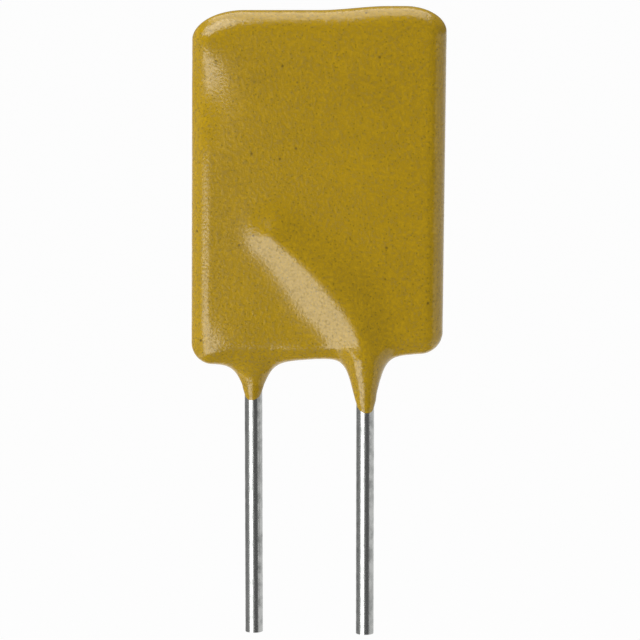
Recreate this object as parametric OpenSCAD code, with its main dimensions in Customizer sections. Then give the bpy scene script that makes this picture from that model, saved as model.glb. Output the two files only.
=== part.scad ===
// Resettable fuse with two radial leads.
// A carbon-filled polymer sheet between two foils, a lead soldered on each foil, all in one dipped coat.
// Millimetres. The origin is midway between the leads, level with the lowest tip of the coat.
// The leads point to -Z, the front face looks to -Y and +X is to the right seen from the front.

/* [Leads] */
// diameter of the tinned wire
lead_d = 0.81; // [0.72:0.01:0.84]
// distance between the two leads, left to right
lead_pitch = 5.1; // [4.9:0.02:5.3]
// bare length of the front lead below the lowest tip of the coat
front_length = 10.23; // [5:0.01:14]
// how much further down the back lead ends
back_extra = 0.25; // [0:0.01:0.5]
// height at which a lead starts to bend to the side
bend_start = 1.25; // [1.1:0.05:1.5]
// radius of that bend, on the axis of the wire
bend_radius = 5.6; // [5:0.1:6]
// how far a lead turns from upright
bend_angle = 45; // [40:1:48]
// straight length of a lead past the bend
lead_reach = 4.2; // [3:0.1:4.6]

/* [Core] */
// width of the polymer sheet
core_width = 10.1; // [9.4:0.05:10.2]
// height of the polymer sheet
core_height = 14.35; // [13.6:0.05:14.4]
// thickness of the polymer sheet
core_t = 0.45; // [0.4:0.01:0.5]
// height of the sheet's lower edge
core_base = 3.1; // [3.05:0.01:3.2]
// thickness of each foil
foil_t = 0.035; // [0.03:0.005:0.06]

/* [Solder] */
// film of solder between wire and foil
solder_film = 0.05; // [0.04:0.005:0.08]
// half width of the solder on the foil
solder_base = 0.64; // [0.6:0.01:0.7]
// half width of the solder at its full height, inside the wire
solder_top = 0.3; // [0.24:0.01:0.32]
// height of the solder on the foil
solder_height = 0.4; // [0.36:0.01:0.42]
// distance from the end of the bend to the start of the solder
solder_start = 0.1; // [0.05:0.05:0.6]
// length of solder past the end of the wire
solder_past = 0.35; // [0.2:0.05:0.5]

/* [Coat] */
// width of the coated body
body_width = 11.42; // [11.3:0.02:12]
// height of the lower edge at the middle of the body
body_bottom = 2.42; // [2.36:0.02:2.44]
// height of the upper edge on its left half
body_top = 18.19; // [18.1:0.01:18.6]
// thickness over the two flat faces beside the rim
body_t = 1.76; // [1.74:0.01:1.9]
// each face bulges by this much more towards its middle
face_crown = 0.06; // [0.03:0.01:0.12]
// the body's middle is this far to the right of the leads' middle
body_shift = 0.34; // [0.28:0.02:0.4]
// the body leans to the right by this angle
body_lean = 0.45; // [0:0.05:0.6]
// the lower edge rises to the right by this angle
bottom_tilt = 2.5; // [0:0.1:3]
// rise of the upper edge on its right half
top_rise = 0.18; // [0:0.01:0.3]
// where that rise starts, from the middle of the body
rise_from = 0; // [-0.5:0.1:0.5]
// where that rise ends, from the middle of the body
rise_to = 3.1; // [2.5:0.1:3.5]
// upper left corner, across
upper_left_w = 2.33; // [1.6:0.01:2.4]
// upper left corner, upright
upper_left_h = 1.35; // [1.0:0.01:1.4]
// upper right corner, across
upper_right_w = 1.88; // [1.6:0.01:2.4]
// upper right corner, upright
upper_right_h = 1.17; // [1.0:0.01:1.4]
// lower left corner, across
lower_left_w = 0.96; // [0.96:0.01:1.3]
// lower left corner, upright
lower_left_h = 1.0; // [0.96:0.01:1.2]
// lower right corner, across
lower_right_w = 0.96; // [0.96:0.01:1.3]
// lower right corner, upright
lower_right_h = 0.97; // [0.96:0.01:1.2]

/* [Drips] */
// half width of a drip at half its depth
drip_half = 0.62; // [0.6:0.01:0.68]
// how sharply the drip on the front lead runs out into the lower edge
front_power = 3.8; // [3.4:0.1:4.2]
// how sharply the drip on the back lead does
back_power = 2.7; // [2.6:0.1:4.2]
// height of the tip of the drip on the back lead
back_tip = 0.37; // [0.2:0.01:0.5]
// thickness of the coat on the wire where a drip runs out
drip_skin = 0.06; // [0.05:0.005:0.08]
// slope of the end of the coat on the wire, lowest at the front
tongue_slant = 41; // [30:1:45]
// the lowest point is turned outward by this angle
tongue_turn = 12; // [0:1:20]
// the coat swells by this much over a soldered lead
ridge_height = 0.47; // [0.42:0.01:0.55]
// half width of that swelling
ridge_half = 0.9; // [0.8:0.02:1.1]

/* [Hidden] */
$fn = 48;
lead_r = lead_d / 2;
lead_x = lead_pitch / 2;
face_y = core_t / 2 + foil_t;
lead_y = face_y + solder_film + lead_r;
back_length = front_length + back_extra;
edge_r = body_t / 2;
x_left = body_shift - body_width / 2;
x_right = body_shift + body_width / 2;
bend_x = lead_x - bend_radius;
reach_x = bend_x + bend_radius * cos(bend_angle);
reach_z = bend_start + bend_radius * sin(bend_angle);
end_x = reach_x - lead_reach * sin(bend_angle);
end_z = reach_z + lead_reach * cos(bend_angle);
drip_r = lead_r + drip_skin;
tongue_rise = drip_r * tan(tongue_slant);
foot_rows = 9;
ridge_rows = 12;
top_rows = 8;
rows = foot_rows + ridge_rows + top_rows;
foot_end = max(base_z(x_left) + lower_left_h, base_z(x_right) + lower_right_h) + 0.5;
ridge_end = end_z + 1.2;
drip_more = 0.8;
far = 100;

// a value held between 0 and 1, and the same eased in and out
function unit(v) = max(0, min(1, v));
function ease(v) = let (t = unit(v)) t * t * (3 - 2 * t);

// upper edge, lower edge and the depth of a drip at a distance from its lead
function top_z(x) = body_top + top_rise * ease((x - body_shift - rise_from) / (rise_to - rise_from));
function base_z(x) = body_bottom + tan(bottom_tilt) * (x - body_shift);
function flow(d, depth, power) = depth / (1 + pow(abs(d) / drip_half, power));
function drip(d, depth, power) = flow(d, depth, power) + drip_more * (1 - ease((abs(d) - drip_r + 0.04) / 0.1));
front_depth = base_z(lead_x);
back_depth = base_z(-lead_x) - back_tip;
function low_z(x) =
    base_z(x) - drip(x - lead_x, front_depth, front_power) - drip(x + lead_x, back_depth, back_power);
function flow_z(x) =
    base_z(x) - flow(x - lead_x, front_depth, front_power) - flow(x + lead_x, back_depth, back_power);
function flow_slope(x) = (flow_z(x + 0.02) - flow_z(x - 0.02)) / 0.04;

// distance from a point to the lower edge, to first order in the drips' flanks and upright further up
function low_gap(x, z) = (z - flow_z(x)) / sqrt(1 + pow(flow_slope(x), 2) * (1 - ease((z - base_z(x)) / edge_r)));

// the outline with its elliptical corners
function corner(t, w, h) = t >= w ? 0 : h * (1 - sqrt(1 - pow(1 - t / w, 2)));
function up_z(x) = top_z(x)
    - corner(x - x_left, upper_left_w, upper_left_h)
    - corner(x_right - x, upper_right_w, upper_right_h);
function foot_z(x) = low_z(x)
    + corner(x - x_left, lower_left_w, lower_left_h)
    + corner(x_right - x, lower_right_w, lower_right_h);

// distance from a point to the rim of an elliptical corner, to first order
function corner_gap(u, v, w, h) = let (k = norm([u, v])) k < 0.001 ? far : (1 - k) * k / norm([u / w, v / h]);

// half width of a drip at a depth below the lower edge, found by halving
function drip_w(depth, full, power, lo = 0.2, hi = 2.2, n = 22) = n == 0 ? (lo + hi) / 2
    : let (mid = (lo + hi) / 2) drip(mid, full, power) > depth ? drip_w(depth, full, power, mid, hi, n - 1)
    : drip_w(depth, full, power, lo, mid, n - 1);
function neck_w(x, z) =
    let (depth = base_z(x) - z)
    x > 0 ? drip_w(depth, front_depth, front_power) : drip_w(depth, back_depth, back_power);

// radius of the rounded rim: the body's own, or the half width of a drip where that is less
function rim_r(w) = pow(pow(w, -4) + pow(edge_r, -4), -0.25);

// how far in from the rim a point is, as a share of the rim's radius
function inset(x, z, r) =
    let (left = x - x_left, right = x_right - x, up = top_z(x) - z, low = z - flow_z(x))
    left < upper_left_w && up < upper_left_h
        ? unit(corner_gap(1 - left / upper_left_w, 1 - up / upper_left_h, upper_left_w, upper_left_h) / r)
    : right < upper_right_w && up < upper_right_h
        ? unit(corner_gap(1 - right / upper_right_w, 1 - up / upper_right_h, upper_right_w, upper_right_h) / r)
    : left < lower_left_w && low < lower_left_h
        ? unit(corner_gap(1 - left / lower_left_w, 1 - low / lower_left_h, lower_left_w, lower_left_h) / r)
    : right < lower_right_w && low < lower_right_h
        ? unit(corner_gap(1 - right / lower_right_w, 1 - low / lower_right_h, lower_right_w, lower_right_h) / r)
    : unit(left / r) * unit(right / r) * unit(up / r) * unit(low_gap(x, z) / r);

// distance in the XZ plane from a point to the front lead's axis above the seat
function reach_gap(x, z) =
    let (a = [end_x - reach_x, end_z - reach_z], p = [x - reach_x, z - reach_z], t = unit((a * p) / (a * a)))
    norm(p - t * a);
function bend_gap(x, z) =
    let (p = [x - bend_x, z - bend_start], t = atan2(p[1], p[0]))
    t >= 0 && t <= bend_angle ? abs(norm(p) - bend_radius) : far;
function lead_gap(x, z) = min(reach_gap(x, z), bend_gap(x, z), z < bend_start ? abs(x - lead_x) : far);
function swell(d) = ridge_height * exp(-pow(d / ridge_half, 2));

// bulge of a face, none at the body's rim
function crown(x, z) =
    let (u = 2 * (x - body_shift) / body_width, v = 2 * (z - body_bottom) / (body_top - body_bottom) - 1)
    face_crown * unit(1 - u * u) * unit(1 - v * v);

// 1 close to a lead and 0 away from it, and 1 down at the drips and 0 up in the body
function near_lead(x) = 1 - ease((abs(abs(x) - lead_x) - 1.2) / 1.2);
function at_drip(z) = 1 - ease((z - 1.5) / 1.9);
function at_neck(z) = 1 - ease((z - 1.1) / 1);

// one point of the coat's outside: front side -1, back side 1, or 0 on the rim
function skin(x, z, side) =
    let (
        w = z < base_z(x) ? neck_w(x, z) : 2.2,
        r = w > 2 ? edge_r : rim_r(w),
        m = inset(x, z, r),
        neck = at_neck(z),
        round = sqrt(unit(1 - pow((abs(x) - lead_x) / w, 2))),
        half = neck * round + (1 - neck) * sqrt(m * (2 - m)),
        lean = tan(body_lean) * z,
        shift = near_lead(x) * at_drip(z),
        bump = crown(x, z) + (1 - shift) * swell(side < 0 ? lead_gap(x + lean, z) : lead_gap(-x - lean, z)),
        mid = (x > 0 ? -1 : 1) * lead_y * shift
    )
    [x + lean * (1 - shift), mid + side * half * (r + bump), z];

// columns from left to right, closer together at the rims and around the leads
function spread(a, b, n) = [for (i = [0 : n - 1]) a + (b - a) * i / n];
lead_steps = concat(
    spread(-1.2, -0.7, 3),
    spread(-0.7, -drip_r - 0.06, 2),
    [for (i = [0 : 9]) -(drip_r + 0.06) * cos(18 * i)],
    spread(drip_r + 0.06, 0.7, 2),
    spread(0.7, 1.2, 3)
);
columns = concat(
    [for (i = [0 : 5]) x_left + edge_r * (1 - cos(15 * i))],
    spread(x_left + edge_r, -lead_x - 1.2, 2),
    [for (t = lead_steps) t - lead_x],
    spread(1.2 - lead_x, lead_x - 1.2, 9),
    [for (t = lead_steps) t + lead_x],
    spread(lead_x + 1.2, x_right - edge_r, 4),
    [for (i = [6 : -1 : 0]) x_right - edge_r * (1 - cos(15 * i))]
);
last = len(columns) - 1;

// heights along a column, closer together at its two ends and level with its neighbours between
function height_at(x, j) =
    j <= foot_rows ? foot_end - (foot_end - foot_z(x)) * cos(90 * j / foot_rows)
    : j <= foot_rows + ridge_rows ? foot_end + (ridge_end - foot_end) * (j - foot_rows) / ridge_rows
    : ridge_end + (up_z(x) - ridge_end) * sin(90 * (j - foot_rows - ridge_rows) / top_rows);
function rim_point(x, z) = [x + tan(body_lean) * z, 0, z];
coat_points = concat(
    [for (j = [0 : rows]) rim_point(x_left, height_at(x_left, j))],
    [for (i = [1 : last - 1]) each concat(
        [for (j = [0 : rows]) skin(columns[i], height_at(columns[i], j), j % rows == 0 ? 0 : -1)],
        [for (j = [rows - 1 : -1 : 1]) skin(columns[i], height_at(columns[i], j), 1)]
    )],
    [for (j = [0 : rows]) rim_point(x_right, height_at(x_right, j))]
);
function folded(j) = j <= rows ? j : 2 * rows - j;
function at(i, j) =
    let (k = j % (2 * rows))
    i == 0 ? folded(k)
    : i == last ? rows + 1 + (last - 1) * 2 * rows + folded(k)
    : rows + 1 + (i - 1) * 2 * rows + k;
// each cell is split along its shorter diagonal
function cell(a, b, c, d, flip) = flip ? [[a, b, d], [b, c, d]] : [[a, b, c], [a, c, d]];
function rises(i, row) =
    row < foot_rows + ridge_rows ? foot_z(columns[i + 1]) > foot_z(columns[i]) : up_z(columns[i + 1]) > up_z(columns[i]);
// the faces are counted from the middle of the front face
coat_faces = [for (n = [0 : last - 1])
    let (i = (n + floor(last / 2)) % last)
    for (k = [0 : 2 * rows - 1])
        let (j = (k + foot_rows + ridge_rows + 3) % (2 * rows), front = j < rows)
        each cell(
            at(i, j), at(i, j + 1), at(i + 1, j + 1), at(i + 1, j),
            rises(i, front ? j : 2 * rows - 1 - j) == front
        )
];

// a slab as wide and high as the sheet, from y0 with thickness t
module sheet(y0, t) {
    rotate([0, body_lean, 0])
        translate([body_shift - core_width / 2, y0, core_base])
            cube([core_width, t, core_height]);
}

// turns what lies on the front face to the back face
module on_back() {
    rotate([0, 0, 180])
        children();
}

// from the bend's centre in the plane of the front face: X out of the bend, Y along the wire, Z away from the face
module along_bend(y, angle) {
    translate([bend_x, y, bend_start])
        rotate([90, 0, 0])
            rotate([0, 0, angle])
                children();
}

// a lead on the front face: upright, bent to the side, then straight to its end
module lead(length) {
    translate([lead_x, -lead_y, -length])
        cylinder(r = lead_r, h = length + bend_start);
    along_bend(-lead_y, 0)
        rotate_extrude(angle = bend_angle)
            translate([bend_radius, 0])
                circle(r = lead_r);
    along_bend(-lead_y, bend_angle)
        translate([bend_radius, 0, 0])
            rotate([-90, 0, 0])
                cylinder(r = lead_r, h = lead_reach);
}

// the solder under and beside a lead on the front face, sunk below the face, with the wire's own room still filled
module solder_bed(sink) {
    along_bend(-face_y, bend_angle)
        translate([bend_radius, lead_reach + solder_past, 0])
            rotate([90, 0, 0])
                linear_extrude(height = lead_reach + solder_past - solder_start)
                    polygon([
                        [-solder_base, -sink],
                        [solder_base, -sink],
                        [solder_base, 0],
                        [solder_top, solder_height],
                        [-solder_top, solder_height],
                        [-solder_base, 0]
                    ]);
}

module solder() {
    difference() {
        solder_bed(0);
        lead(front_length);
    }
}

// all below the slanted end of the coat on one lead
module tongue_end(x, y, tip, turn) {
    translate([x, y, tip + tongue_rise])
        rotate([0, 0, turn])
            rotate([tongue_slant, 0, 0])
                translate([-1.5, -1.5, -3])
                    cube([3, 3, 3]);
}

module coating() {
    color("#A48422")
        difference() {
            polyhedron(points = coat_points, faces = coat_faces, convexity = 6);
            tongue_end(lead_x, -lead_y, 0, tongue_turn);
            tongue_end(-lead_x, lead_y, back_tip, -tongue_turn);
            union() {
                sheet(-face_y, 2 * face_y);
                lead(front_length);
                solder_bed(core_t / 4);
                on_back() lead(back_length);
                on_back() solder_bed(core_t / 4);
            }
        }
}

module polymer_core() {
    color("#26272A")
        sheet(-core_t / 2, core_t);
}

module front_foil() {
    color("#B9B5AA")
        sheet(-face_y, foil_t);
}

module back_foil() {
    color("#B9B5AA")
        sheet(core_t / 2, foil_t);
}

module front_lead() {
    color("#C3C5C3")
        lead(front_length);
}

module back_lead() {
    color("#C3C5C3")
        on_back() lead(back_length);
}

module front_solder() {
    color("#A9ABAB")
        solder();
}

module back_solder() {
    color("#A9ABAB")
        on_back() solder();
}

coating();
polymer_core();
front_foil();
back_foil();
front_lead();
back_lead();
front_solder();
back_solder();
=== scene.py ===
import math

import bpy
import numpy as np
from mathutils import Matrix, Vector


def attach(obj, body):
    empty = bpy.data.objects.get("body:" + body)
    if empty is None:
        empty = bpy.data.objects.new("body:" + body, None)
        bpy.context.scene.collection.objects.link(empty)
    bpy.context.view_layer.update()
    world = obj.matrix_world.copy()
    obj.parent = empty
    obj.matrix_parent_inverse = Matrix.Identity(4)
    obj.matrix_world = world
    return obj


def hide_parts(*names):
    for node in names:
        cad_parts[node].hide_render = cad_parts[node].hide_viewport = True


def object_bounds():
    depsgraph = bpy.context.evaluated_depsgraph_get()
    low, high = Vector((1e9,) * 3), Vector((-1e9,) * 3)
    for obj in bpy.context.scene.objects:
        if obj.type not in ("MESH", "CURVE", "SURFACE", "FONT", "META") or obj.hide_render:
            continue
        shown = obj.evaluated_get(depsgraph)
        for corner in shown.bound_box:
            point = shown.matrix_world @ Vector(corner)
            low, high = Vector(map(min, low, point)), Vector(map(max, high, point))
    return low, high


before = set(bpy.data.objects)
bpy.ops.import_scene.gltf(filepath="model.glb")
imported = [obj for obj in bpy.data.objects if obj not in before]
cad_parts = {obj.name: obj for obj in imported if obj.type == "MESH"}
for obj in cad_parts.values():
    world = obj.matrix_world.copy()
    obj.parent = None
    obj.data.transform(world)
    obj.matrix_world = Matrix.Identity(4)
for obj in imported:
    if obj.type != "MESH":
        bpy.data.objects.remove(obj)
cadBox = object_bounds()
print("frame loaded with", len(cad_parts), "CAD nodes")

mm = 0.001
tiny = 1e-6  # keeps a divisor off 0
white = (1.0, 1.0, 1.0, 1.0)
mixShare, mixFirst, mixSecond, mixResult = 0, 6, 7, 2  # sockets of a colour mix, by number as their names repeat


def linearColour(code):
    # sRGB hex to the linear values that a socket takes
    parts = [int(code[i:i + 2], 16) / 255 for i in (1, 3, 5)]
    return tuple(c / 12.92 if c <= 0.04045 else ((c + 0.055) / 1.055) ** 2.4 for c in parts) + (1.0,)


def addNode(tree, kind, settings=None, links=None):
    # one node: its own properties and socket values from settings, then sockets joined to other nodes
    node = tree.nodes.new(kind)
    for name, value in (settings or {}).items():
        if isinstance(name, str) and hasattr(node, name):
            setattr(node, name, value)
        else:
            node.inputs[name].default_value = value
    for name, source in (links or {}).items():
        tree.links.new(source, node.inputs[name])
    return node


def newMaterial(name):
    material = bpy.data.materials.new(name)
    material.use_nodes = True
    material.node_tree.nodes.clear()
    return material, material.node_tree


# dipped coat, lengths in mm and angles in degrees: the body's outline, its drips on the leads and the ridge
# over the soldered wire; a span is the length over which a change runs
coatShape = {
    "leadPitch": 5.1,
    "leadRadius": 0.405,
    "leadSetback": 0.715,  # wire axis in front of or behind the middle of the sheet
    "bendStart": 1.25,
    "bendRadius": 5.6,
    "bendAngle": 45.0,
    "ridgeReach": 4.05,  # run of the ridge along the straight part of the wire
    "width": 11.42,
    "bottom": 2.42,
    "top": 18.19,
    "rimRadius": 0.88,
    "faceCrown": 0.06,
    "sideShift": 0.34,  # middle of the body, to the right of the middle between the leads
    "lean": 0.45,
    "bottomTilt": 2.5,
    "topRise": 0.18,  # how far the upper edge rises on the right, and over what run
    "riseLength": 3.1,
    "upperLeft": (2.33, 1.35),  # each corner across and up
    "upperRight": (1.88, 1.17),
    "lowerLeft": (0.96, 1.0),
    "lowerRight": (0.96, 0.97),
    "dripHalf": 0.62,  # half width of a drip halfway down
    "frontPower": 3.8,  # how sharply the drip on each lead runs out into the lower edge
    "backPower": 2.7,
    "backTip": 0.37,  # how much higher the drip on the back lead ends
    "dripSkin": 0.06,
    "blendPower": 4,  # how sharply the drip's half width gives way to the rim radius
    "neck": (1.1, 1.0),  # height at which the round drip begins to turn into the flat body, and the span
    "frontDraw": (0.5, 1.0),  # distance off the wire up to which the coat keeps to its depth, and the span
    "backDraw": (0.6, 1.9),
    "drawRise": (1.5, 1.9),  # height up to which it does so, and the span
    "sleeve": 0.8,  # run of the coat below its tip, inside the wire
    "sleeveEdge": (0.04, 0.1),  # how far inside the drip's skin the sleeve begins to end, and the span
    "wireSink": 0.008,  # depth of the sleeve under the wire's own surface
    "tongueSlant": 41.0,  # slope of the coat's end on each wire, and how far the slope is turned about the wire
    "tongueTurn": 12.0,
    "tongueLip": 0.42,
    "lipPower": 1.6,  # how full the lip is
    "tongueBound": (0.9, 1.6),  # distance from the wire's axis and height that hold the whole tongue
    "ridgeHeight": 0.5,
    "ridgeHalf": 1.12,
    "ridgeFade": (0.28, 0.24),  # shares of the ridge's height and width that are gone at the wire's end
    "ridgeFoot": (0.2, 3.0, 2.0),  # share of its width gone at the foot, up to which height, and the span
    "ridgeBow": (0.55, 6.4, 3.0),  # how far the ridge leans off the wire, at which height, and the span
    # places on the front where the coat has drawn thin: x from the left edge, z, both spans and the depth
    "thinSpots": ((0.0, 14.4, 1.1, 1.6, 0.42), (0.0, 2.7, 1.0, 1.2, 0.27), (0.6, 17.9, 1.5, 1.0, 0.2)),
    # the grid: its columns, the rows up a column and the samples that places are read from
    "columns": 300,
    "footRows": 62,  # a quarter of them below the tongue's end, then the lip's
    "lipRows": 8,
    "ridgeRows": 54,
    "topRows": 34,
    "tongueClear": 0.1,  # distance beyond the drip's skin up to which the rows follow the tongue
    "footClear": 0.15,  # least height of the rows below the tongue's end
    "rowMargins": (0.5, 1.2),  # above the lower corners and above the ridge, where the rows' spacing changes
    "outlineSamples": 60001,
    "edgeSamples": 1500,
    "neckSamples": (0.2, 2.2, 4001),  # half widths of a drip: from, to and how many
}


def ease(v):
    # 0 to 1 with level ends
    t = np.clip(v, 0, 1)
    return t * t * (3 - 2 * t)


def wireGap(x, z, s):
    # distance in the plane of the face to the front wire, which is upright, then an arc, then straight, and how
    # far along its straight run the nearest point is, from 0 to 1
    farOff = 100
    leadX = s["leadPitch"] / 2
    turn = math.radians(s["bendAngle"])
    bendX = leadX - s["bendRadius"]
    startX = bendX + s["bendRadius"] * math.cos(turn)
    startZ = s["bendStart"] + s["bendRadius"] * math.sin(turn)
    along = np.clip(-(x - startX) * math.sin(turn) + (z - startZ) * math.cos(turn), 0, s["ridgeReach"])
    straight = np.hypot(x - startX + along * math.sin(turn), z - startZ - along * math.cos(turn))
    angle = np.arctan2(z - s["bendStart"], x - bendX)
    offArc = np.abs(np.hypot(x - bendX, z - s["bendStart"]) - s["bendRadius"])
    arc = np.where((angle >= 0) & (angle <= turn), offArc, farOff)
    upright = np.where(z < s["bendStart"], np.abs(x - leadX), farOff)
    return np.minimum(np.minimum(straight, arc), upright), along / s["ridgeReach"]


def coatSurface(s):
    # Columns stand at fixed x and each runs up the front and down the back, so the two parameters are the
    # column and the place round its ring. At a point (x, z) the half thickness is sqrt(m(2-m)) times the sum
    # of the rim radius, a crown and a bell-shaped ridge over the wire, less the thin spots, m being the
    # distance in from the outline over the rim radius. The outline is a rounded box whose lower edge hangs by
    # depth / (1 + (d/half)^power) at a distance d from each wire. In a drip its half width takes the place of
    # the rim radius, and the section is round about the wire.
    leadX, leadY, rim = s["leadPitch"] / 2, s["leadSetback"], s["rimRadius"]
    xLeft, xRight = s["sideShift"] - s["width"] / 2, s["sideShift"] + s["width"] / 2
    tilt, lean = math.tan(math.radians(s["bottomTilt"])), math.tan(math.radians(s["lean"]))
    dripR = s["leadRadius"] + s["dripSkin"]

    def topZ(x):
        return s["top"] + s["topRise"] * ease((x - s["sideShift"]) / s["riseLength"])

    def baseZ(x):
        return s["bottom"] + tilt * (x - s["sideShift"])

    frontDepth, backDepth = baseZ(leadX), baseZ(-leadX) - s["backTip"]

    def hang(d, depth, power):
        return depth / (1 + (np.abs(d) / s["dripHalf"]) ** power)

    def sleeve(d):
        inside, span = s["sleeveEdge"]
        return s["sleeve"] * (1 - ease((np.abs(d) - dripR + inside) / span))

    def hangZ(x):
        front = hang(x - leadX, frontDepth, s["frontPower"])
        back = hang(x + leadX, backDepth, s["backPower"])
        return baseZ(x) - front - back

    def corner(t, size):
        u = np.clip(1 - t / size[0], 0, 1)
        return size[1] * (1 - np.sqrt(1 - u * u))

    def footZ(x):
        lower = hangZ(x) - sleeve(x - leadX) - sleeve(x + leadX)
        return lower + corner(x - xLeft, s["lowerLeft"]) + corner(xRight - x, s["lowerRight"])

    # columns at equal steps along the lower outline, so they close up on the flanks of the drips
    fine = np.linspace(xLeft, xRight, s["outlineSamples"])
    walked = np.concatenate([[0], np.cumsum(np.hypot(np.diff(fine), np.diff(footZ(fine))))])
    columns = np.interp(np.linspace(0, walked[-1], s["columns"]), walked, fine)[:, None]
    lowerX = np.interp(np.linspace(0, walked[-1], s["edgeSamples"]), walked, fine)
    lowerZ = hangZ(lowerX)
    foot = footZ(columns)
    top = topZ(columns) - corner(columns - xLeft, s["upperLeft"]) - corner(xRight - columns, s["upperRight"])

    # the slanted end of the coat on each wire: centre, height there and the plane's upward normal
    slant = math.radians(s["tongueSlant"])
    tongues = []
    for cx, cy, tip, turn in (
        (leadX, -leadY, 0, s["tongueTurn"]),
        (-leadX, leadY, s["backTip"], -s["tongueTurn"]),
    ):
        t = math.radians(turn)
        normal = (math.sin(slant) * math.sin(t), -math.sin(slant) * math.cos(t), math.cos(slant))
        tongues.append((cx, cy, tip + dripR * math.tan(slant), normal))

    # heights up a column: below the tongue's end, over its lip, up to the ridge, along the ridge, up to the rim
    footMargin, ridgeMargin = s["rowMargins"]
    footEnd = baseZ(xRight) + s["lowerRight"][1] + footMargin
    wireRise = (s["bendRadius"] + s["ridgeReach"]) * math.sin(math.radians(s["bendAngle"]))
    ridgeEnd = s["bendStart"] + wireRise + ridgeMargin

    def heights(side):
        tongueEnd = foot + s["footClear"]
        for cx, _, mid, normal in tongues:
            d = columns - cx
            dy = side * np.sqrt(np.clip(dripR ** 2 - d * d, 0, None))
            plane = mid - (normal[0] * d + normal[1] * dy) / normal[2]
            near = np.abs(d) < dripR + s["tongueClear"]
            tongueEnd = np.where(near, np.maximum(tongueEnd, plane), tongueEnd)
        low, lip = s["footRows"] // 4, s["lipRows"]
        t = np.linspace(0, 1, low + 1)[None, :-1]
        below = tongueEnd - (tongueEnd - foot) * np.cos(t * math.pi / 2)
        t = np.linspace(0, 1, lip + 1)[None, :-1]
        over = tongueEnd + s["tongueLip"] * t
        t = np.linspace(0, 1, s["footRows"] - low - lip + 1)[None, :-1]
        upper = tongueEnd + s["tongueLip"] + (footEnd - tongueEnd - s["tongueLip"]) * t
        t = np.linspace(0, 1, s["ridgeRows"] + 1)[None, :-1]
        ridge = footEnd + (ridgeEnd - footEnd) * t + 0 * columns
        t = np.linspace(0, 1, s["topRows"] + 1)[None, :]
        rest = ridgeEnd + (top - ridgeEnd) * np.sin(t * math.pi / 2)
        return np.concatenate([below, over, upper, ridge, rest], axis=1)

    table = np.linspace(*s["neckSamples"])

    def neckWidth(depth, full, power):
        # half width of a drip at a depth below the lower edge, read back from its outline
        run = hang(table, full, power) + sleeve(table)
        return np.interp(depth, run[::-1], table[::-1])

    def skin(side):
        z = heights(side)
        x = columns + 0 * z
        depth = baseZ(x) - z
        frontWidth = neckWidth(depth, frontDepth, s["frontPower"])
        backWidth = neckWidth(depth, backDepth, s["backPower"])
        w = np.where(x > 0, frontWidth, backWidth)
        p = s["blendPower"]
        r = (w ** -p + rim ** -p) ** (-1 / p)  # the rim radius, or the drip's half width where that is less
        left, right, up, low = x - xLeft, xRight - x, topZ(x) - z, z - hangZ(x)
        gap = low.copy()  # shortest way to the lower edge, drips included
        for ox, oz in zip(lowerX, lowerZ):
            gap = np.minimum(gap, np.hypot(x - ox, z - oz))
        m = np.ones_like(z)
        for d in (left, right, up, gap):
            m = m * np.clip(d / r, 0, 1)
        for across, upright, size in (
            (left, up, s["upperLeft"]),
            (right, up, s["upperRight"]),
            (left, low, s["lowerLeft"]),
            (right, low, s["lowerRight"]),
        ):
            u, v = 1 - across / size[0], 1 - upright / size[1]
            k = np.maximum(np.hypot(u, v), 100 * tiny)  # so that m is 1 at the corner's own centre
            inward = (1 - k) * k / np.maximum(np.hypot(u / size[0], v / size[1]), tiny)
            m = np.where((u > 0) & (v > 0), np.clip(inward / r, 0, 1), m)
        neckZ, neckSpan = s["neck"]
        neck = 1 - ease((z - neckZ) / neckSpan)
        around = np.sqrt(np.clip(1 - ((np.abs(x) - leadX) / w) ** 2, 0, 1))
        half = neck * around + (1 - neck) * np.sqrt(np.clip(m * (2 - m), 0, 1))
        leaning = lean * z
        # drawn is 1 where the coat keeps to the wire's depth and 0 on the body
        offWire = np.abs(np.abs(x) - leadX)
        draws = (s["frontDraw"], s["backDraw"])
        drawnFront, drawnBack = (1 - ease((offWire - off) / span) for off, span in draws)
        drawZ, drawSpan = s["drawRise"]
        drawn = np.where(x > 0, drawnFront, drawnBack) * (1 - ease((z - drawZ) / drawSpan))
        middleY = np.where(x > 0, -leadY, leadY) * drawn
        bow, bowZ, bowSpan = s["ridgeBow"]
        away, along = wireGap(-side * (x + leaning) - bow * np.exp(-((z - bowZ) / bowSpan) ** 2), z, s)
        tall, wide = (1 - share * ease(along) for share in s["ridgeFade"])
        narrow, narrowZ, narrowSpan = s["ridgeFoot"]
        wide = wide * (1 - narrow * (1 - ease((z - narrowZ) / narrowSpan)))
        swell = tall * s["ridgeHeight"] * np.exp(-(away / (wide * s["ridgeHalf"])) ** 2)
        for spotX, spotZ, spanX, spanZ, deep in s["thinSpots"] if side < 0 else ():
            swell = swell - deep * np.exp(-((left - spotX) / spanX) ** 2 - ((z - spotZ) / spanZ) ** 2)
        # a and b are the place across and up the face, from -1 to 1
        a = 2 * (x - s["sideShift"]) / s["width"]
        b = 2 * (z - s["bottom"]) / (s["top"] - s["bottom"]) - 1
        crown = s["faceCrown"] * np.clip(1 - a * a, 0, 1) * np.clip(1 - b * b, 0, 1)
        y = middleY + side * half * (r + crown + (1 - drawn) * swell)
        points = np.stack([x + leaning * (1 - drawn), y, z], axis=-1)
        # both ends of a column lie on the outline, between front and back
        points[:, [0, -1], 1] = middleY[:, [0, -1]]
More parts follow.
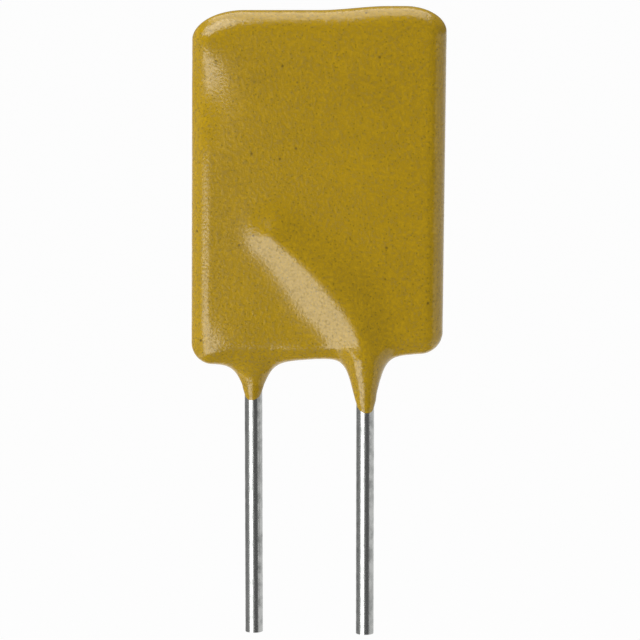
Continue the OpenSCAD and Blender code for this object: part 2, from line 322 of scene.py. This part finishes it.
        # below a tongue's end the coat closes in under the wire's own surface
        boundR, boundZ = s["tongueBound"]
        for cx, cy, mid, normal in tongues:
            dx, dy = points[..., 0] - cx, points[..., 1] - cy
            over = normal[0] * dx + normal[1] * dy + normal[2] * (points[..., 2] - mid)
            t = np.clip(over / (s["tongueLip"] * normal[2]), 0, 1)
            keep = 1 - (1 - t) ** s["lipPower"]
            rho = np.maximum(np.hypot(dx, dy), tiny)  # distance from the wire's axis
            inner = np.minimum(rho, s["leadRadius"] - s["wireSink"])
            near = (rho < boundR) & (points[..., 2] < boundZ)
            scale = np.where(near, (inner + (rho - inner) * keep) / rho, 1)
            points[..., 0] = cx + dx * scale
            points[..., 1] = cy + dy * scale
        return points

    front, back = skin(-1), skin(1)
    return np.concatenate([front, back[:, -2:0:-1]], axis=1)


def ringMesh(name, points, material):
    # quads between neighbouring rings; the first and last column are single lines that both sides share
    count, around = points.shape[:2]
    ids = np.arange(count * around).reshape(count, around)
    place = np.arange(around)
    folded = np.where(place <= around // 2, place, around - place)
    ids[0], ids[-1] = ids[0, folded], ids[-1, folded]
    here, there = ids[:-1], ids[1:]
    quads = np.stack([here, there, np.roll(there, -1, 1), np.roll(here, -1, 1)], axis=-1).reshape(-1, 4)
    used, quads = np.unique(quads, return_inverse=True)
    mesh = bpy.data.meshes.new(name)
    mesh.from_pydata(points.reshape(-1, 3)[used] * mm, [], quads.reshape(-1, 4))
    mesh.polygons.foreach_set("use_smooth", np.ones(len(mesh.polygons), bool))
    mesh.materials.append(material)
    mesh.update()
    piece = bpy.data.objects.new(name, mesh)
    bpy.context.scene.collection.objects.link(piece)
    return piece


coatFinish = {
    "base": "#B08D0B",
    "deep": "#8C7006",
    "speck": "#7F6707",
    "spot": "#6A530A",
    "grainMm": 0.12,  # filler grain, drawn about three times its real size so that it shows
    "grainDepthMm": 0.012,
    "speckMm": 0.2,  # spacing of the olive specks, each about 0.09 mm across
    "spotMm": 0.95,  # spacing of the few darker ones
    "speckRadius": 0.24,  # share of the spacing
    "spotRadius": 0.08,
    "fullShade": 0.55,  # share of a speck's radius that has its full shade
    "cloudMm": 2.6,
    "cloudShare": 0.25,  # weight of the clouds beside the grain in the mottle
    "mottleRange": (0.35, 0.9),  # values of both together, from the base colour to the deep one
    "peelMm": 0.9,
    "peelDepthMm": 0.0014,
    "glossRange": (0.45, 0.7),  # values of the grain pattern over which the roughness changes
    "roughness": (0.11, 0.4),  # between grains and on them
    "index": 1.52,
}


def coatMaterial(f):
    # filled epoxy, dipped and oven cured: mustard body colour, olive filler specks, a fine grain in the gloss
    material, tree = newMaterial("dippedEpoxy")
    place = addNode(tree, "ShaderNodeTexCoord").outputs["Object"]
    cloud = addNode(
        tree, "ShaderNodeTexNoise", {"Scale": 1 / (f["cloudMm"] * mm), "Detail": 3.0}, {"Vector": place}
    )
    grain = addNode(
        tree, "ShaderNodeTexNoise", {"Scale": 1 / (f["grainMm"] * mm), "Detail": 2.0}, {"Vector": place}
    )
    peel = addNode(
        tree, "ShaderNodeTexNoise", {"Scale": 1 / (f["peelMm"] * mm), "Detail": 1.0}, {"Vector": place}
    )
    uneven = addNode(
        tree, "ShaderNodeMath", {"operation": "MULTIPLY_ADD", 1: f["cloudShare"]},
        {0: cloud.outputs["Fac"], 2: grain.outputs["Fac"]},
    )
    mottle = addNode(
        tree, "ShaderNodeMapRange",
        {"From Min": f["mottleRange"][0], "From Max": f["mottleRange"][1], "To Min": 0.0, "To Max": 1.0},
        {"Value": uneven.outputs["Value"]},
    )
    tone = addNode(
        tree, "ShaderNodeMix",
        {"data_type": "RGBA", mixFirst: linearColour(f["base"]), mixSecond: linearColour(f["deep"])},
        {mixShare: mottle.outputs["Result"]},
    )
    # round filler grains just under the skin: the shade falls off from the middle of each cell
    for shade, spacing, radius in (
        (f["speck"], f["speckMm"], f["speckRadius"]),
        (f["spot"], f["spotMm"], f["spotRadius"]),
    ):
        cells = addNode(tree, "ShaderNodeTexVoronoi", {"Scale": 1 / (spacing * mm)}, {"Vector": place})
        dot = addNode(
            tree, "ShaderNodeMapRange",
            {"From Min": radius * f["fullShade"], "From Max": radius, "To Min": 1.0, "To Max": 0.0},
            {"Value": cells.outputs["Distance"]},
        )
        tone = addNode(
            tree, "ShaderNodeMix", {"data_type": "RGBA", mixSecond: linearColour(shade)},
            {mixShare: dot.outputs["Result"], mixFirst: tone.outputs[mixResult]},
        )
    gloss = addNode(
        tree, "ShaderNodeMapRange",
        {
            "From Min": f["glossRange"][0], "From Max": f["glossRange"][1],
            "To Min": f["roughness"][0], "To Max": f["roughness"][1],
        },
        {"Value": grain.outputs["Fac"]},
    )
    wavy = addNode(
        tree, "ShaderNodeBump", {"Strength": 1.0, "Distance": f["peelDepthMm"] * mm},
        {"Height": peel.outputs["Fac"]},
    )
    sandy = addNode(
        tree, "ShaderNodeBump", {"Strength": 1.0, "Distance": f["grainDepthMm"] * mm},
        {"Height": grain.outputs["Fac"], "Normal": wavy.outputs["Normal"]},
    )
    shader = addNode(
        tree, "ShaderNodeBsdfPrincipled", {"Metallic": 0.0, "IOR": f["index"]},
        {
            "Base Color": tone.outputs[mixResult],
            "Roughness": gloss.outputs["Result"],
            "Normal": sandy.outputs["Normal"],
        },
    )
    addNode(tree, "ShaderNodeOutputMaterial", None, {"Surface": shader.outputs["BSDF"]})
    return material


coat = ringMesh("dipped_coat", coatSurface(coatShape), coatMaterial(coatFinish))
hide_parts("coating")
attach(coat, "root")
print("coat:", len(coat.data.polygons), "quads")

wireFinish = {
    "bright": "#B6B7B5",
    "dull": "#8F918F",
    "drawMm": 0.05,  # width of a drawing line, drawn wider than the real scratches so that it shows
    "lineLengthMm": 2.5,
    "lineDepthMm": 0.0016,
    "smudgeMm": 0.4,
    "wornRange": (0.4, 0.7),  # values of the smudge pattern from the bright shade towards the dull one
    "wornMost": 0.8,  # share of the dull shade in the dullest patch
    "glossRange": (0.3, 0.7),  # values of the smudge pattern over which the roughness changes
    "roughness": (0.18, 0.36),
}


def wireMaterial(f):
    # copper wire with a tin plate, drawn through a die: a grey shine, fine lines along the wire and duller
    # handled patches
    material, tree = newMaterial("tinPlatedWire")
    place = addNode(tree, "ShaderNodeTexCoord").outputs["Object"]
    along = f["drawMm"] / f["lineLengthMm"]
    stretched = addNode(tree, "ShaderNodeMapping", {"Scale": (1.0, 1.0, along)}, {"Vector": place})
    lines = addNode(
        tree, "ShaderNodeTexNoise", {"Scale": 1 / (f["drawMm"] * mm), "Detail": 2.0},
        {"Vector": stretched.outputs["Vector"]},
    )
    smudge = addNode(
        tree, "ShaderNodeTexNoise", {"Scale": 1 / (f["smudgeMm"] * mm), "Detail": 4.0}, {"Vector": place}
    )
    worn = addNode(
        tree, "ShaderNodeMapRange",
        {"From Min": f["wornRange"][0], "From Max": f["wornRange"][1], "To Min": 0.0, "To Max": f["wornMost"]},
        {"Value": smudge.outputs["Fac"]},
    )
    tin = addNode(
        tree, "ShaderNodeMix",
        {"data_type": "RGBA", mixFirst: linearColour(f["bright"]), mixSecond: linearColour(f["dull"])},
        {mixShare: worn.outputs["Result"]},
    )
    gloss = addNode(
        tree, "ShaderNodeMapRange",
        {
            "From Min": f["glossRange"][0], "From Max": f["glossRange"][1],
            "To Min": f["roughness"][0], "To Max": f["roughness"][1],
        },
        {"Value": smudge.outputs["Fac"]},
    )
    drawn = addNode(
        tree, "ShaderNodeBump", {"Strength": 1.0, "Distance": f["lineDepthMm"] * mm},
        {"Height": lines.outputs["Fac"]},
    )
    shader = addNode(
        tree, "ShaderNodeBsdfPrincipled", {"Metallic": 1.0},
        {
            "Base Color": tin.outputs[mixResult],
            "Roughness": gloss.outputs["Result"],
            "Normal": drawn.outputs["Normal"],
        },
    )
    addNode(tree, "ShaderNodeOutputMaterial", None, {"Surface": shader.outputs["BSDF"]})
    return material


# pieces sealed inside the coat: two shades, the pattern's size, metallic and the range of roughness
innerFinishes = {
    "carbonFilledPolyethylene": {  # pressed black sheet, matt with faint flow marks
        "nodes": ["polymer_core"],
        "shades": ("#26272A", "#1C1D20"),
        "patternMm": 0.6,
        "metallic": 0.0,
        "roughness": (0.55, 0.7),
    },
    "nickelFoil": {  # nodular foil, a warm grey satin
        "nodes": ["front_foil", "back_foil"],
        "shades": ("#BDB8AC", "#A39F94"),
        "patternMm": 0.3,
        "metallic": 1.0,
        "roughness": (0.35, 0.5),
    },
    "tinSolder": {  # reflowed solder, bright with frosty patches
        "nodes": ["front_solder", "back_solder"],
        "shades": ("#B4B6B6", "#989B9C"),
        "patternMm": 0.4,
        "metallic": 1.0,
        "roughness": (0.22, 0.4),
    },
}
innerGlossRange = (0.3, 0.7)  # values of the pattern over which the roughness changes
innerDepthMm = 0.004


def innerMaterial(name, f):
    material, tree = newMaterial(name)
    place = addNode(tree, "ShaderNodeTexCoord").outputs["Object"]
    patches = addNode(
        tree, "ShaderNodeTexNoise", {"Scale": 1 / (f["patternMm"] * mm), "Detail": 4.0}, {"Vector": place}
    )
    tone = addNode(
        tree, "ShaderNodeMix",
        {"data_type": "RGBA", mixFirst: linearColour(f["shades"][0]), mixSecond: linearColour(f["shades"][1])},
        {mixShare: patches.outputs["Fac"]},
    )
    gloss = addNode(
        tree, "ShaderNodeMapRange",
        {
            "From Min": innerGlossRange[0], "From Max": innerGlossRange[1],
            "To Min": f["roughness"][0], "To Max": f["roughness"][1],
        },
        {"Value": patches.outputs["Fac"]},
    )
    uneven = addNode(
        tree, "ShaderNodeBump", {"Strength": 1.0, "Distance": innerDepthMm * mm},
        {"Height": patches.outputs["Fac"]},
    )
    shader = addNode(
        tree, "ShaderNodeBsdfPrincipled", {"Metallic": f["metallic"]},
        {
            "Base Color": tone.outputs[mixResult],
            "Roughness": gloss.outputs["Result"],
            "Normal": uneven.outputs["Normal"],
        },
    )
    addNode(tree, "ShaderNodeOutputMaterial", None, {"Surface": shader.outputs["BSDF"]})
    return material


def dress(nodeName, material):
    # a CAD node keeps its mesh and takes a finer material
    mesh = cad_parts[nodeName].data
    mesh.materials.clear()
    mesh.materials.append(material)


wireLook = wireMaterial(wireFinish)
for nodeName in ("front_lead", "back_lead"):
    dress(nodeName, wireLook)
for name, finish in innerFinishes.items():
    look = innerMaterial(name, finish)
    for nodeName in finish["nodes"]:
        dress(nodeName, look)
print("materials on", len(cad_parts), "pieces")

# studio, lengths in metres and angles in degrees; azimuth 0 is towards the camera and grows to the right
studio = {
    "aim": (0.0005, 0.0, 0.00416),
    "floorDrop": 0.3,
    "floorRadius": 16.0,
    "floorSides": 96,
    "floorShade": "#F2F2F0",
    "floorGlow": 1.07,  # level of the floor as it is seen
    "floorGlowShare": 0.9,  # share of that glow in what is seen, the rest being lit paper with the shadow
    "roomLight": 0.2,
    "roomSeen": 0.97,  # level of the room as the camera sees it
    "softboxes": {  # a softbox that isn't seen gives light but no reflection
        "lowLeft": {"azimuth": -35, "elevation": -28, "distance": 0.3, "size": (0.21, 0.255), "power": 0.54},
        "highLeft": {"azimuth": -42, "elevation": 47, "distance": 0.35, "size": (0.24, 0.2), "power": 0.72},
        "overhead": {"azimuth": 180, "elevation": 86, "distance": 0.35, "size": (0.4, 0.4), "power": 1.3},
        "tableGlow": {
            "azimuth": 0, "elevation": -85, "distance": 0.28, "size": (0.4, 0.4), "power": 0.3, "seen": False,
        },
        "sideLeft": {
            "azimuth": -100, "elevation": 0, "distance": 0.3, "size": (0.3, 0.3), "power": 0.5, "seen": False,
        },
        "sideRight": {
            "azimuth": 100, "elevation": 0, "distance": 0.3, "size": (0.3, 0.3), "power": 0.3, "seen": False,
        },
    },
    "darkCards": {  # grey cards that the coat and the wires mirror
        "cardFront": {"azimuth": 25, "elevation": -10, "distance": 0.25, "size": (0.29, 0.52), "glow": 0.16},
        "cardLeft": {"azimuth": -106, "elevation": -3, "distance": 0.25, "size": (0.46, 0.38), "glow": 0.36},
        "cardBelow": {"azimuth": 0, "elevation": -89.9, "distance": 0.2, "size": (0.3, 0.3), "glow": 0.14},
    },
}


def direction(azimuth, elevation):
    a, e = math.radians(azimuth), math.radians(elevation)
    return Vector((math.sin(a) * math.cos(e), -math.cos(a) * math.cos(e), math.sin(e)))


def softbox(name, box):
    light = bpy.data.lights.new(name, "AREA")
    light.shape = "RECTANGLE"
    light.size, light.size_y = box["size"]
    light.energy = box["power"]
    lamp = bpy.data.objects.new(name, light)
    toward = direction(box["azimuth"], box["elevation"])
    lamp.location = Vector(studio["aim"]) + toward * box["distance"]
    lamp.rotation_euler = toward.to_track_quat("Z", "Y").to_euler()
    lamp.visible_glossy = box.get("seen", True)
    bpy.context.scene.collection.objects.link(lamp)


def paleMaterial():
    # matt white studio floor: camera, glossy and transmission rays see it near white and the shadow stays
    material, tree = newMaterial("studioPaper")
    path = addNode(tree, "ShaderNodeLightPath")
    seen = path.outputs["Is Camera Ray"]
    for name in ("Is Glossy Ray", "Is Transmission Ray"):
        either = addNode(tree, "ShaderNodeMath", {"operation": "MAXIMUM"}, {0: seen, 1: path.outputs[name]})
        seen = either.outputs["Value"]
    share = addNode(tree, "ShaderNodeMath", {"operation": "MULTIPLY", 1: studio["floorGlowShare"]}, {0: seen})
    paper = addNode(tree, "ShaderNodeBsdfDiffuse", {"Color": linearColour(studio["floorShade"])})
    glow = addNode(tree, "ShaderNodeEmission", {"Color": white, "Strength": studio["floorGlow"]})
    mixed = addNode(
        tree, "ShaderNodeMixShader", None,
        {0: share.outputs["Value"], 1: paper.outputs["BSDF"], 2: glow.outputs["Emission"]},
    )
    addNode(tree, "ShaderNodeOutputMaterial", None, {"Surface": mixed.outputs["Shader"]})
    return material


def flatPiece(name, corners, material):
    mesh = bpy.data.meshes.new(name)
    mesh.from_pydata(corners, [], [list(range(len(corners)))])
    mesh.materials.append(material)
    piece = bpy.data.objects.new(name, mesh)
    bpy.context.scene.collection.objects.link(piece)
    return piece


turns = np.linspace(0, 2 * math.pi, studio["floorSides"], endpoint=False)
floorX, floorY = studio["floorRadius"] * np.cos(turns), studio["floorRadius"] * np.sin(turns)
floorZ = cadBox[0].z - studio["floorDrop"]
ringPoints = np.stack([floorX, floorY, 0 * turns + floorZ], axis=-1)
flatPiece("studio_floor", ringPoints.tolist(), paleMaterial())

for name, card in studio["darkCards"].items():
    cardLook, cardTree = newMaterial(name + "Flock")
    cardShader = addNode(cardTree, "ShaderNodeEmission", {"Color": white, "Strength": card["glow"]})
    addNode(cardTree, "ShaderNodeOutputMaterial", None, {"Surface": cardShader.outputs["Emission"]})
    toward = direction(card["azimuth"], card["elevation"])
    centre = Vector(studio["aim"]) + toward * card["distance"]
    across = toward.cross(Vector((0, 0, 1))).normalized() * card["size"][0] / 2
    up = across.cross(toward).normalized() * card["size"][1] / 2
    corners = [centre - across - up, centre + across - up, centre + across + up, centre - across + up]
    piece = flatPiece(name, corners, cardLook)
    # only reflections see the cards
    piece.visible_camera = False
    piece.visible_diffuse = False
    piece.visible_transmission = False
    piece.visible_shadow = False

for name, box in studio["softboxes"].items():
    softbox(name, box)

world = bpy.data.worlds.new("paleRoom")
bpy.context.scene.world = world
world.use_nodes = True
room = world.node_tree
room.nodes.clear()
# the camera sees the room white past the floor's edge, and the part gets the room's own low light
path = addNode(room, "ShaderNodeLightPath")
level = addNode(
    room, "ShaderNodeMath",
    {"operation": "MULTIPLY_ADD", 1: studio["roomSeen"] - studio["roomLight"], 2: studio["roomLight"]},
    {0: path.outputs["Is Camera Ray"]},
)
sky = addNode(room, "ShaderNodeBackground", {"Color": white}, {"Strength": level.outputs["Value"]})
addNode(room, "ShaderNodeOutputWorld", None, {"Surface": sky.outputs["Background"]})
print("studio:", len(studio["softboxes"]), "softboxes")

# camera in front and a little above, in metres and degrees; across is the width of the frame at the body
cameraView = {
    "azimuth": 0,
    "elevation": 8,
    "distance": 0.14,
    "across": 0.02909,
    "sensorMm": 36.0,
    "clip": (0.005, 60.0),
}
lens = bpy.data.cameras.new("camera")
lens.sensor_width = cameraView["sensorMm"]
lens.lens = cameraView["sensorMm"] * cameraView["distance"] / cameraView["across"]
lens.clip_start, lens.clip_end = cameraView["clip"]
camera = bpy.data.objects.new("camera", lens)
toward = direction(cameraView["azimuth"], cameraView["elevation"])
camera.location = Vector(studio["aim"]) + toward * cameraView["distance"]
camera.rotation_euler = toward.to_track_quat("Z", "Y").to_euler()
bpy.context.scene.collection.objects.link(camera)
bpy.context.scene.camera = camera
bpy.context.scene.view_settings.view_transform = "Standard"
print("camera at", [round(v, 4) for v in camera.location])
